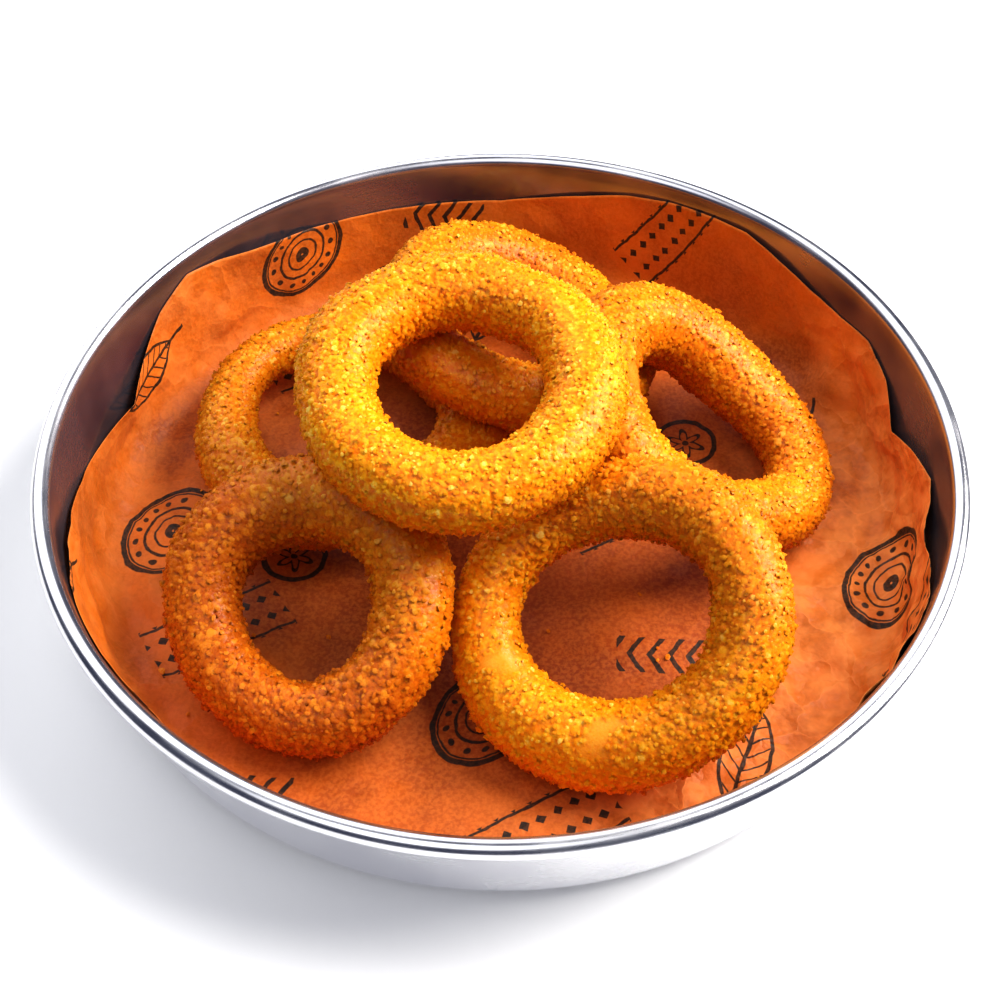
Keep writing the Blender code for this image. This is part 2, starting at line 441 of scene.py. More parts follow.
def linerEdge(angle):
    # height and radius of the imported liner's uneven edge at each angle, from its highest points
    points = cadPoints("paper_liner")
    nearest = dish["cornerMiddle"] + paper["edgeOutside"]
    points = points[np.hypot(points[:, 0], points[:, 1]) > nearest]
    steps = paper["edgeSteps"]
    step = fullTurn / steps
    bins = np.round(np.arctan2(points[:, 1], points[:, 0]) / step).astype(int) % steps
    top = np.zeros(steps)
    np.maximum.at(top, bins, points[:, 2])
    high = points[:, 2] > top[bins] - paper["edgeBand"]
    total = np.bincount(bins[high], np.hypot(*points[high][:, :2].T), steps)
    reach = total / np.bincount(bins[high], None, steps)
    known = np.arange(-1, steps + 2)
    wrap = known % steps
    angle = angle % fullTurn
    return np.interp(angle, known * step, top[wrap]), np.interp(angle, known * step, reach[wrap])


def onSide(angle, side):
    # amount on one side of the sheet: heading in degrees, the cosines of the angle away from it
    # where it starts and is full, and how much it is there
    heading, start, full, amount = side
    return amount * smoothStep(start, full, np.cos(angle - math.radians(heading)))


def wear(angle, flat, spot):
    # how rumpled the sheet is, how darkened by grease and painted shade, and how paled by rubbing
    # and painted sheen, at each place, each 0 to 1
    rumpled = paper["rumpledAround"] + sum(onSide(angle, side) for side in paper["rumpledSides"])
    inner = paper["rumpledInside"]
    rumpled = rumpled * (inner + (1 - inner) * smoothStep(*paper["rumpledFrom"], flat))
    drift = flat + paper["drift"] * softNoise(spot, paper["driftSize"], paper["seed"] + 2)
    # painted shade and grease: the paper darkens in the middle and on some sides
    greaseAndShade = 1 - smoothStep(*paper["greaseAndShadeFrom"], drift)
    for side, end in paper["greaseAndShadeSides"]:
        greaseAndShade = np.maximum(greaseAndShade, onSide(angle, side) * (1 - smoothStep(*end, drift)))
    stains = smoothStep(0.1, 0.9, softNoise(spot, paper["greaseSpotSize"], paper["seed"] + 3))
    greaseAndShade = np.maximum(greaseAndShade, paper["greaseSpots"] * stains)
    # painted sheen and rubbing: paler on some sides near the wall
    rubbedAndSheen = sum(onSide(angle, side) for side in paper["rubbedAndSheenSides"])
    return rumpled, greaseAndShade, rubbedAndSheen * smoothStep(*paper["rubbedAndSheenFrom"], drift)


def facets(x, y, size, seed):
    # folds: the sum of slanted triangle waves, so the sheet is flat between straight creases
    total = 0.0
    smallest, growth = paper["foldSizes"]
    for number in range(paper["foldWaves"]):
        heading = seed + paper["foldTurn"] * number
        across = x * math.cos(heading) + y * math.sin(heading)
        wave = across / (size * (smallest + growth * number))
        spot = np.stack([x, y, 0 * x + number * 0.03], -1)
        bend = softNoise(spot, paper["foldBendSize"], seed + number)
        total = total + np.abs((wave + paper["foldBend"] * bend) % 1 - 0.5) * 2 - 0.5
    return total / 2.2            # about -1 to 1


def paperPoint(angle, along):
    # a point of the sheet: along is 0 to 1 on the floor, to 2 round the corner, to 3 up the wall
    angle, along = np.broadcast_arrays(np.asarray(angle, float), np.asarray(along, float))
    cornerRadius = dish["cornerRadius"] - paper["clearance"]
    floor, corner, wall = (np.clip(along - start, 0, 1) for start in (0, 1, 2))
    slope = dish["wallSlope"]
    turn = corner * slope
    edgeHeight, edgeReach = linerEdge(angle)
    footHeight = dish["cornerHeight"] - cornerRadius * math.cos(slope)
    climb = wall * (edgeHeight - footHeight)
    radius = floor * dish["cornerMiddle"] + cornerRadius * np.sin(turn) + climb / math.tan(slope)
    height = dish["cornerHeight"] - cornerRadius * np.cos(turn) + climb
    flat = floor * dish["cornerMiddle"] + cornerRadius * turn + climb / math.sin(slope)
    wallRadius = (dish["cornerMiddle"] + cornerRadius * math.sin(slope)
                  + (edgeHeight - footHeight) / math.tan(slope))
    stand = np.maximum(wallRadius - edgeReach, 0) * wall         # pleats stand off the wall
    spot = around(flat, angle, 0)
    x, y = spot[..., 0], spot[..., 1]
    rumpled, greaseAndShade, rubbedAndSheen = wear(angle, flat, spot)
    folds = np.maximum(facets(x, y, paper["creaseSize"], paper["seed"]), paper["deepest"])
    push = (paper["swell"] * softNoise(spot, paper["swellSize"], paper["seed"])
            + paper["crease"] * rumpled * (1 - paper["wallCrease"] * wall) * folds
            + paper["crinkle"] * softNoise(spot, paper["crinkleSize"], paper["seed"] + 1))
    push = np.maximum(push, paper["nearest"])
    radius = radius - np.sin(turn) * push - stand                 # along the sheet's normal
    height = height + np.cos(turn) * push
    return around(radius, angle, height), spot[..., :2], greaseAndShade, rubbedAndSheen


def makePaper():
    # the sheet as rings of points from the middle out, with a fan of triangles at the middle
    angle = np.arange(paper["segments"]) * fullTurn / paper["segments"]
    along = np.concatenate([start + np.linspace(0, 1, paper[rows] + 1)[1:] for start, rows in
                            enumerate(("floorRows", "cornerRows", "wallRows"))])
    points, flat, greaseAndShade, rubbedAndSheen = paperPoint(angle[None, :], along[:, None])
    centre = paperPoint(0.0, 0.0)[0]
    points, flat = points.reshape(-1, 3), flat.reshape(-1, 2)
    quads = gridFaces(len(along), paper["segments"], closeColumns=True)
    fan = fanFaces(len(points), 0, paper["segments"])
    points = np.concatenate([points, centre.reshape(1, 3)])
    flat = np.concatenate([flat, [[0, 0]]])
    piece = addMesh("paper_sheet", points, [quads[:, ::-1], fan], attributes={
        "greaseAndShade": np.append(greaseAndShade.ravel(), 1), "rubbedAndSheen": np.append(rubbedAndSheen.ravel(), 0)})
    layer = piece.data.uv_layers.new(name="sheet")
    corner = np.zeros(len(piece.data.loops), np.int32)
    piece.data.loops.foreach_get("vertex_index", corner)
    layer.data.foreach_set("uv", (0.5 + flat[corner] / paper["span"]).astype(np.float32).ravel())
    skin = piece.modifiers.new("thickness", "SOLIDIFY")
    skin.thickness = paper["thickness"]
    skin.offset = 0
    return piece


inkPrint = {
    "cell": (98, 74),             # millimetres between repeats, every other row shifted
    "heading": 21,
    "start": (9, -17),
    "edge": 6.0,                  # sharpness of the ink's edge
    "shake": 1.2,                 # waver of the strokes
    "colour": (0.020, 0.018, 0.014, 1),
    "slice": (-22, 13, 35),       # each motif's middle in its cell, heading and scale
    "chevrons": (21, 13, -24, 0.62),
    "leaf": (25, -17, 48),
    "band": (-20, -18, 9),
    "stamp": (2, -4, 15),
}


def inkFrame(tree, point, x, y, heading, scale=1.0):
    # coordinates about a motif's own middle, turned by its heading and divided by its scale
    local = put(tree, "Mapping", {"vector_type": "TEXTURE"}, {
        "Vector": point, "Location": (x, y, 0), "Rotation": (0, 0, math.radians(heading)),
        "Scale": (scale, scale, 1)})
    return splitPoint(tree, local)[:2]


def inkStroke(tree, distance, half):
    # ink where the distance is under half a stroke either way, clamped to 0 and 1
    room = calc(tree, "SUBTRACT", half, calc(tree, "ABSOLUTE", distance))
    return calc(tree, "MULTIPLY_ADD", room, inkPrint["edge"], 0.5, clamp=True)


def inkRepeat(tree, value, pitch):
    # distance from the nearest whole number of pitches
    return calc(tree, "PINGPONG", value, pitch / 2)


def inkJoin(tree, operation, *parts):
    # MULTIPLY leaves ink only where every part has it, MAXIMUM wherever one has
    joined = parts[0]
    for part in parts[1:]:
        joined = calc(tree, operation, joined, part)
    return joined


def sliceMotif(tree, point):
    # an onion slice: four rings round one middle, with a row of dots between two of them
    x, y = inkFrame(tree, point, *inkPrint["slice"])
    away = lengthOf(tree, calc(tree, "MULTIPLY", x, 0.74), y)
    turn = calc(tree, "MULTIPLY", calc(tree, "ARCTAN2", y, x), 7.4)
    aside = calc(tree, "SUBTRACT", away, 7.4)
    dots = inkStroke(tree, lengthOf(tree, inkRepeat(tree, turn, 3.1), aside), 0.62)
    layers = ((9.8, 0.55), (8.9, 0.18), (5.6, 0.30), (3.6, 0.22), (1.0, 0.75))   # radius, half
    return inkJoin(tree, "MAXIMUM", dots, *[
        inkStroke(tree, calc(tree, "SUBTRACT", away, ring), half) for ring, half in layers])


def chevronMotif(tree, point):
    # bold arrowheads in a row: the place along the row, less half the place across it, repeats
    x, y = inkFrame(tree, point, *inkPrint["chevrons"])
    slanted = calc(tree, "MULTIPLY_ADD", calc(tree, "ABSOLUTE", y), -0.62, x)
    return inkJoin(tree, "MULTIPLY", inkStroke(tree, inkRepeat(tree, slanted, 7.0), 1.05),
                   inkStroke(tree, x, 18.5), inkStroke(tree, y, 7.6))


def leafMotif(tree, point):
    # a leaf: across plus a little of along squared is its outline, slanted repeats are its veins
    x, y = inkFrame(tree, point, *inkPrint["leaf"])
    across = calc(tree, "ABSOLUTE", y)
    outline = calc(tree, "MULTIPLY_ADD", calc(tree, "MULTIPLY", x, x), 0.032,
                   calc(tree, "SUBTRACT", across, 5.2))
    slanted = calc(tree, "MULTIPLY_ADD", across, -0.9, x)
    veins = inkJoin(tree, "MULTIPLY", inkStroke(tree, inkRepeat(tree, slanted, 3.4), 0.26),
                    inkStroke(tree, calc(tree, "ADD", outline, 10), 9.6))
    stalk = inkJoin(tree, "MULTIPLY", inkStroke(tree, y, 0.42),
                    inkStroke(tree, calc(tree, "SUBTRACT", x, 3), 15.5))
    return inkJoin(tree, "MAXIMUM", inkStroke(tree, outline, 0.42), veins, stalk)


def bandMotif(tree, point):
    # two rows of small lozenges between thin rules
    x, y = inkFrame(tree, point, *inkPrint["band"])
    lozenge = calc(tree, "ADD", inkRepeat(tree, x, 4.0),
                   inkRepeat(tree, calc(tree, "ADD", y, 2.6), 5.2))
    rules = inkStroke(tree, calc(tree, "SUBTRACT", calc(tree, "ABSOLUTE", y), 6.4), 0.35)
    marks = inkJoin(tree, "MAXIMUM", inkStroke(tree, lozenge, 1.25), rules)
    return inkJoin(tree, "MULTIPLY", marks, inkStroke(tree, x, 15.9), inkStroke(tree, y, 7.2))


def stampMotif(tree, point):
    # a round stamp: a bold circle with a six-leaved flower in it
    x, y = inkFrame(tree, point, *inkPrint["stamp"])
    away = lengthOf(tree, x, y)
    leaves = calc(tree, "COSINE", calc(tree, "MULTIPLY", calc(tree, "ARCTAN2", y, x), 6))
    flower = calc(tree, "SUBTRACT", away, calc(tree, "MULTIPLY_ADD", leaves, 1.3, 2.9))
    circle = calc(tree, "SUBTRACT", away, 7.0)
    return inkJoin(tree, "MAXIMUM", inkStroke(tree, circle, 0.62),
                   inkStroke(tree, flower, 0.55), inkStroke(tree, away, 0.8))


def inkGroup():
    # the whole print: the flat sheet is cut into cells, and every cell holds the same five motifs
    group, given, result = newGroup("sheetPrint", ("Vector",), ("Ink",))
    x, y = inkFrame(group, given[0], *inkPrint["start"], inkPrint["heading"])
    wide, high = inkPrint["cell"]
    row = calc(group, "FLOOR", calc(group, "MULTIPLY", y, 1 / high))
    shifted = calc(group, "MULTIPLY_ADD", calc(group, "FLOORED_MODULO", row, 2.0), wide * 0.5, x)
    cell = put(group, "CombineXYZ", None, {
        0: calc(group, "SUBTRACT", calc(group, "FLOORED_MODULO", shifted, wide), wide / 2),
        1: calc(group, "SUBTRACT", calc(group, "FLOORED_MODULO", y, high), high / 2)})
    makers = (sliceMotif, chevronMotif, leafMotif, bandMotif, stampMotif)
    ink = inkJoin(group, "MAXIMUM", *[make(group, cell) for make in makers])
    group.links.new(ink, result[0])
    return group


paperLooks = {
    "specular": 0.34,
    "grains": [(48, 4), (150, 3), (1100, 2)],      # scale and detail of clouds, patches and fibres
    "dry": [(0.50, 0.122, 0.006, 1), (0.74, 0.196, 0.010, 1)],
    "soakedAndShaded": [(0.28, 0.050, 0.007, 1), (0.43, 0.094, 0.010, 1)],    # where grease has gone in, and painted shade
    # paler salmon for rubbed fibres and for painted sheen
    "rubbedAndSheen": (0.94, 0.38, 0.100, 1),
    "fibre": (0.84, 0.29, 0.05, 1),
    "fibreAmount": 0.28,
    "foldScale": 0.075,           # folds a millimetre
    "foldShake": 5,
    "foldWidth": 0.035,
    "foldPale": 0.18,
    "foldHeight": (-26.0, -6.0),  # where the rubbed and sheen mask is full, and anywhere
    "roughness": (0.46, 0.66),
    "bumpStrength": 0.40,
    "bumpDepth": 0.25 * mm,
}


def paperMaterial():
    # dry paper, darker where grease has soaked in and where shade is painted, paler on folds,
    # where rubbed and where sheen is painted, with fibres, and the print over it
    looks = paperLooks
    material, tree, shader = newMaterial("greaseproofPaper", {
        "Specular IOR Level": looks["specular"]})
    uv = put(tree, "UVMap", {"uv_map": "sheet"})
    side = paper["span"] / mm
    flat = put(tree, "Mapping", None,                    # millimetres on the flat sheet
               {"Vector": uv, "Location": (-side / 2, -side / 2, 0), "Scale": (side, side, side)})
    waver = put(tree, "TexNoise", None, {"Vector": flat, "Scale": 0.25}, out=1)
    shaken, bent = (put(tree, "VectorMath", {"operation": "MULTIPLY_ADD"},
                        {0: waver, 1: (amount, amount, 0), 2: flat})
                    for amount in (inkPrint["shake"], looks["foldShake"]))
    ink = useGroup(tree, inkGroup(), {"Vector": shaken})[0]
    point = objectPoint(tree)
    cloud, patch, fibre = (grain(tree, point, *size) for size in looks["grains"])
    greaseAndShade, rubbedAndSheen = meshValues(tree, "greaseAndShade", "rubbedAndSheen")
    dry = mixColours(tree, cloud["Mask"], *looks["dry"])
    soakedAndShaded = mixColours(tree, cloud["Mask"], *looks["soakedAndShaded"])
    # painted shade and grease: the darker soaked colour where this mask is high
    base = mixColours(tree, greaseAndShade, dry, soakedAndShaded)
    fold = put(tree, "TexVoronoi", {"feature": "DISTANCE_TO_EDGE"},
               {"Vector": bent, "Scale": looks["foldScale"]})
    ridge = between(tree, fold, 0, looks["foldWidth"], 1, 0)
    ridge = calc(tree, "MULTIPLY", ridge, calc(tree, "MULTIPLY_ADD", rubbedAndSheen, 0.8, 0.2))
    pale = calc(tree, "MULTIPLY_ADD", patch["Mask"], 0.55, 0.25)
    rubAndSheen = calc(tree, "MULTIPLY", pale, calc(tree, "MULTIPLY_ADD", rubbedAndSheen, 1.05, 0.05))
    rubAndSheen = calc(tree, "MULTIPLY_ADD", ridge, looks["foldPale"], rubAndSheen, clamp=True)
    base = mixColours(tree, rubAndSheen, base, looks["rubbedAndSheen"])            # paler where creased and rubbed, and painted sheen
    fibres = calc(tree, "MULTIPLY", fibre["Mask"], looks["fibreAmount"])
    base = mixColours(tree, fibres, base, looks["fibre"])
    worn = calc(tree, "MULTIPLY", ink, calc(tree, "MULTIPLY_ADD", fibre["Mask"], -0.10, 0.98))
    colour = mixColours(tree, worn, base, inkPrint["colour"])
    folded = calc(tree, "MULTIPLY", calc(tree, "MINIMUM", fold, 0.35),
                  calc(tree, "MULTIPLY_ADD", rubbedAndSheen, *looks["foldHeight"]))
    height = calc(tree, "MULTIPLY_ADD", patch["Height"], 2.2,
                  calc(tree, "ADD", fibre["Height"], folded))
    finish(tree, shader, looks, height, {
        "Base Color": colour,
        "Roughness": between(tree, patch["Mask"], 0, 1, *looks["roughness"], soft=False)})
    return material


place(makePaper(), paperMaterial(), "orange_paper", "paper_liner")
print("paper: creased sheet with its print")


crust = {
    "sections": 30,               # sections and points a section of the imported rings
    "sectionPoints": 12,
    "harmonics": 5,
    "turns": 460,
    "rows": 138,
    "sink": 0.80 * mm,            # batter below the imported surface, before the crumbs
    "lumpSize": 5.0 * mm,
    "lump": 0.30 * mm,
    "gritSize": 0.45 * mm,
    "grit": 0.12 * mm,
    "warpSize": 0.9 * mm,         # crumbs are bent out of round by this much
    "warp": 0.13 * mm,
    "jitter": 0.44,
    "loose": 0.80,                # share of the second layer's places that hold a free crumb
    "loosePitch": 1.22,           # of the ring's own pitch
    "looseSize": (0.48, 1.30),    # of the ring's crumb size
    "looseRise": (-0.45, 0.42),   # middle of a free crumb above the crust, in its own size
    "batterRise": 0.30 * mm,      # bare batter stands this far out of the sunk surface
    "squash": 0.5 * mm,           # crumbs level off this near the ceiling
    "crest": 0.20,                # painted light: crumbs facing up are paler by this much, painted shade: those below browner
    "crestFrom": 0.85,
    "sizeSpread": 0.24,
    "sizeLimits": (0.6, 1.7),
    "liftRange": (-0.40, 0.12),   # middle of a crust crumb above the batter, in its own size
    "squeezeRange": (-0.22, 0.30),
    "toneShape": (2.4, 2.6),      # shapes of the spreads of tone and of free crumbs' sizes
    "looseShape": (1.6, 2.2),
    "corners": (0.70, 1.22),      # how far a free crumb's corners and sides are from even
    "sides": (0.62, 1.30),
    "bareFade": (0.2, 1.3),       # a bare spot fades out between these shares of its size
    "bareWaver": 0.6,
    "bareWaverSize": 2.2 * mm,
    "bareShrink": 0.55,           # crumbs there are smaller, lower and fewer
    "bareDrop": 0.45,
    "bareClear": 1.6,
    "patch": 0.24,                # browner patches
    "patchSize": 12 * mm,
    "fallenSeed": 97,
    "fallen": 9,                  # crumbs lying beside each ring
    "fallenSize": (0.32 * mm, 0.72 * mm),
    "fallenReach": (1.4, 1.3 * mm),
    "fallenTone": (3.0, 3.2),
    "fallenToast": (0.4, 1.0),
    "lean": 0.78,                 # how far shading follows the ring rather than each crumb
    "crumbLean": 0.72,
}

crumbCeiling = cadBounds[1][2] - 0.05 * mm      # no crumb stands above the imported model

rings = {
    # how brown each ring is, the heading of a side painted browner as painted shade and by how
    # much,
    # and its spots of batter: turn, section and size
    "ring_left": {"seed": 11, "toastAndShade": 0.46, "shadeSide": (180, 0.05),
                  "size": 0.60 * mm, "pitch": 1.04 * mm, "bare": []},
    "ring_back": {"seed": 23, "toastAndShade": 0.44, "shadeSide": (90, 0.14),
                  "size": 0.58 * mm, "pitch": 1.00 * mm, "bare": []},
    "ring_right": {"seed": 37, "toastAndShade": 0.54, "shadeSide": (40, 0.10),
                   "size": 0.61 * mm, "pitch": 1.05 * mm, "bare": [(6.13, 2.30, 4.2 * mm)]},
    "ring_front_right": {"seed": 41, "toastAndShade": 0.24, "shadeSide": (25, 0.34),
                         "size": 0.64 * mm, "pitch": 1.10 * mm,
                         "bare": [(1.47, 1.71, 4.6 * mm), (0.23, 2.23, 3.8 * mm)]},
    "ring_front_left": {"seed": 53, "toastAndShade": 0.86, "shadeSide": (215, 0.50),
                        "size": 0.70 * mm, "pitch": 1.20 * mm, "bare": []},
    "ring_top": {"seed": 67, "toastAndShade": 0.06, "shadeSide": (70, 0.16),
                 "size": 0.56 * mm, "pitch": 0.98 * mm, "bare": []},
}


def readRing(node):
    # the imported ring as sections: sorted by angle about its mean, each section gives a middle,
    # a half width in the ring's plane and a half height along its axis
    points = cadPoints(node)
    middle = points.mean(0)
    axis = np.linalg.svd(points - middle)[2][2]
    axis = axis * np.sign(axis[2])
    second = np.cross(axis, (1, 0, 0))
    second = second / np.linalg.norm(second)
    axes = np.stack([np.cross(second, axis), second, axis])
    local = (points - middle) @ axes.T
    order = np.argsort(np.arctan2(local[:, 1], local[:, 0]))
    start = np.arctan2(local[order[0], 1], local[order[0], 0])
    local = local[order].reshape(crust["sections"], crust["sectionPoints"], 3)
    centre = local.mean(1)
    outward = centre[:, :2] / np.linalg.norm(centre[:, :2], axis=1)[:, None]
    spread = local - centre[:, None]
    width = np.sqrt(2 * np.mean(np.einsum("spk,sk->sp", spread[..., :2], outward) ** 2, 1))
    height = np.sqrt(2 * np.mean(spread[..., 2] ** 2, 1))
    samples = np.concatenate([centre, width[:, None], height[:, None]], 1)
    return {"middle": middle, "axes": axes, "start": start,
            "waves": np.fft.rfft(samples, axis=0)[:crust["harmonics"] + 1] / crust["sections"]}


def ringPoint(shape, turn, section, grow=0.0):
    # middle(turn) + (width + grow) cos(section) outward + (height + grow) sin(section) axis,
    # where middle, width and height are sums of the first few waves round the ring
    count = np.arange(crust["harmonics"] + 1)
    phase = np.exp(1j * turn[..., None] * count)
    doubled = np.where(count == 0, 1.0, 2.0)[:, None] * shape["waves"]
    values = np.real(phase @ doubled)
    centre, width, height = values[..., :3], values[..., 3], values[..., 4]
    outward = centre[..., :2] / np.linalg.norm(centre[..., :2], axis=-1)[..., None]
    cosine, sine = np.cos(section), np.sin(section)
    local = np.concatenate([centre[..., :2] + outward * ((width + grow) * cosine)[..., None],
                            (centre[..., 2] + (height + grow) * sine)[..., None]], -1)
    normal = np.concatenate([outward * (cosine * height)[..., None],
                             (sine * width)[..., None]], -1)
    normal = normal / np.linalg.norm(normal, axis=-1)[..., None]
    return shape["middle"] + local @ shape["axes"], normal @ shape["axes"]


def batterSurface(shape, turn, section, look):
    # the ring's skin under the crumbs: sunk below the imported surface, with soft lumps
    point, normal = ringPoint(shape, turn, section, -crust["sink"])
    lump = softNoise(point, crust["lumpSize"], look["seed"])
    lump = lump + 0.5 * softNoise(point, crust["lumpSize"] / 2.1, look["seed"] + 1)
    return point + normal * (crust["lump"] * lump)[..., None], normal


def bareness(point, shape, look):
    # 1 in the middle of each spot where the batter shows through, 0 outside it, uneven between
    total = np.zeros(point.shape[:-1])
    for turn, section, size in look["bare"]:
        middle, _ = batterSurface(shape, np.array(turn), np.array(section), look)
        away = np.linalg.norm(point - middle, axis=-1) / size
        waver = softNoise(point, crust["bareWaverSize"], look["seed"] + 8)
        away = away + crust["bareWaver"] * waver
        total = np.maximum(total, 1 - smoothStep(*crust["bareFade"], away))
    return total


def toastAndSideShade(point, shape, look):
    # how brown the crust is: the ring's own browning, painted shade on the side that its heading
    # names, and patches
    away = point - shape["middle"]
    heading = np.arctan2(away[..., 1], away[..., 0]) - math.radians(look["shadeSide"][0])
    patch = softNoise(point, crust["patchSize"], look["seed"] + 3)
    # painted shade: browner towards one side of the ring
    return look["toastAndShade"] + look["shadeSide"][1] * np.cos(heading) + crust["patch"] * patch


def crested(tone, normal):
    # painted light: tone raised where the crust faces up, painted shade: lowered elsewhere
    return tone + crust["crest"] * (normal[..., 2] - crust["crestFrom"])


def layCrumbs(shape, look, seed, pitch):
    # crumbs in rows round the tube, as many in a row as its length takes, shaken off their places
    chance = np.random.default_rng(seed)
    width = abs(shape["waves"][0, 3])
    circle = np.linspace(0, fullTurn, 60)
    spine, _ = ringPoint(shape, circle, np.full_like(circle, math.pi / 2))
    radius = float(np.mean(np.linalg.norm(spine - shape["middle"], axis=-1)))
    rows = int(fullTurn * width / pitch)
    rowLength = fullTurn * (radius + width * np.cos(np.arange(rows) * fullTurn / rows))
    inRow = np.round(rowLength / pitch).astype(int)
    first = np.cumsum(inRow) - inRow
    row = np.repeat(np.arange(rows), inRow)
    number = np.arange(inRow.sum()) - first[row]
    shake = chance.uniform(-crust["jitter"], crust["jitter"], (2, len(row)))
    turn = (number + 0.5 * (row % 2) + shake[0]) * fullTurn / inRow[row]
    section = (row + shake[1]) * fullTurn / rows
    spot, normal = batterSurface(shape, turn, section, look)
    size = look["size"] * np.clip(chance.lognormal(0, crust["sizeSpread"], len(row)),
                                  *crust["sizeLimits"])
    stretch = chance.normal(size=(len(row), 3))
    bare = bareness(spot, shape, look)
    return {"turn": turn, "section": section % fullTurn, "inRow": inRow, "first": first,
            "spot": spot, "normal": normal,
            "size": size * (1 - crust["bareShrink"] * bare), "bare": bare,
            "lift": size * (chance.uniform(*crust["liftRange"], len(row))
                            - crust["bareDrop"] * bare),
            "stretch": stretch / np.linalg.norm(stretch, axis=1)[:, None],
            "squeeze": chance.uniform(*crust["squeezeRange"], len(row)),
            "tone": chance.beta(*crust["toneShape"], len(row))}


def crumbHeights(point, turn, section, layer):
    # the highest crumb near: each a cap, root of size squared less distance squared, on its lift
    rows = len(layer["inRow"])
    best = np.zeros(point.shape[:-1])
    owner = np.zeros(point.shape[:-1], int)
    nearRow = np.floor(section / fullTurn * rows).astype(int)
    for rowStep in (-1, 0, 1, 2):
        row = (nearRow + rowStep) % rows
        count = layer["inRow"][row]
        near = np.round(turn / fullTurn * count - 0.5 * (row % 2)).astype(int)
        for step in (-1, 0, 1):
            crumb = layer["first"][row] + (near + step) % count
            away = point - layer["spot"][crumb]
            axis = layer["stretch"][crumb]
            along = np.sum(away * axis, -1) * layer["squeeze"][crumb]
            away = away + axis * along[..., None]
            rise = np.sum(away * layer["normal"][crumb], -1)
            room = layer["size"][crumb] ** 2 - np.sum(away * away, -1) + rise ** 2
            height = np.where(room > 0, layer["lift"][crumb] + np.sqrt(np.maximum(room, 0)), -1)
            owner = np.where(height > best, crumb, owner)
            best = np.maximum(best, height)
    return best, owner


def makeCrust(name, shape, look, layer):
    # the crumbed skin in one closed surface: batter pushed out along its normal by the crumbs
    turn = (np.arange(crust["turns"]) * fullTurn / crust["turns"])[:, None]
    section = (np.arange(crust["rows"]) * fullTurn / crust["rows"])[None, :]
    turn, section = np.broadcast_arrays(turn, section)
    points, normal = batterSurface(shape, turn, section, look)
    bend = [softNoise(points, crust["warpSize"], look["seed"] + number) for number in (5, 6, 7)]
    bent = points + crust["warp"] * np.stack(bend, -1)
    height, owner = crumbHeights(bent, turn, section, layer)
    bare = bareness(points, shape, look)
    height = np.maximum(height, crust["batterRise"] * bare)
    grit = softNoise(points, crust["gritSize"], look["seed"] + 2)
    lifted = points + normal * (height + crust["grit"] * grit * (1 - 0.3 * bare))[..., None]
    squash = crust["squash"]
    over = np.maximum(lifted[..., 2] - (crumbCeiling - squash), 0)
    lifted[..., 2] -= over - squash * (1 - np.exp(-over / squash))
    quads = gridFaces(crust["turns"], crust["rows"], closeRows=True, closeColumns=True)
    # the tone carries painted light where the crust faces up and painted shade below
    return addMesh(name + "_crust", lifted.reshape(-1, 3), [quads[:, ::-1]], attributes={
        "tone": crested(layer["tone"][owner], normal), "depth": height / (1.05 * look["size"]),
        "toastAndShade": toastAndSideShade(points, shape, look), "bare": bare}, leanTo=normal, lean=crust["lean"])


def icosahedron():
    # twelve corners from the golden ratio, and the twenty faces between nearest corners
    gold = (1 + math.sqrt(5)) / 2
    corners = np.array([(-1, gold, 0), (1, gold, 0), (-1, -gold, 0), (1, -gold, 0),
                        (0, -1, gold), (0, 1, gold), (0, -1, -gold), (0, 1, -gold),
                        (gold, 0, -1), (gold, 0, 1), (-gold, 0, -1), (-gold, 0, 1)])
    faces = np.array([(0, 11, 5), (0, 5, 1), (0, 1, 7), (0, 7, 10), (0, 10, 11),
                      (1, 5, 9), (5, 11, 4), (11, 10, 2), (10, 7, 6), (7, 1, 8),
                      (3, 9, 4), (3, 4, 2), (3, 2, 6), (3, 6, 8), (3, 8, 9),
                      (4, 9, 5), (2, 4, 11), (6, 2, 10), (8, 6, 7), (9, 8, 1)])
    return corners / np.linalg.norm(corners[0]), faces


def turnMatrices(chance, count):
    # random turns from unit quaternions
    spun = chance.normal(size=(4, count))
    w, x, y, z = spun / np.linalg.norm(spun, axis=0)
    rows = ((1 - 2 * (y * y + z * z), 2 * (x * y - w * z), 2 * (x * z + w * y)),
            (2 * (x * y + w * z), 1 - 2 * (x * x + z * z), 2 * (y * z - w * x)),
            (2 * (x * z - w * y), 2 * (y * z + w * x), 1 - 2 * (x * x + y * y)))
    return np.moveaxis(np.array(rows), -1, 0)


def crumbMesh(name, centres, normals, radii, looks, chance):
    # every crumb is the same icosahedron with uneven corners, squeezed, turned and moved
    corners, faces = icosahedron()
    count, each = len(centres), len(corners)
    uneven = corners[None] * chance.uniform(*crust["corners"], (count, each, 1))
    uneven = uneven * chance.uniform(*crust["sides"], (count, 1, 3))
    turned = np.einsum("nij,nkj->nki", turnMatrices(chance, count), uneven)
    points = centres[:, None] + turned * radii[:, None, None]
    points[..., 2] -= np.maximum(points[..., 2].max(1) - crumbCeiling, 0)[:, None]
    rise = np.einsum("nki,ni->nk", turned, normals)
    allFaces = (faces[None] + each * np.arange(count)[:, None, None]).reshape(-1, 3)
    spread = {key: np.repeat(values[:, None], each, 1) for key, values in looks.items()}
    # depth rises towards a free crumb's upper side, which the material paints lighter as painted
    # light
    spread["depth"] = np.clip(0.70 + 0.40 * rise, 0, 1)
    return addMesh(name, points.reshape(-1, 3), [allFaces], attributes=spread,
                   leanTo=np.repeat(normals[:, None], each, 1), lean=crust["crumbLean"])


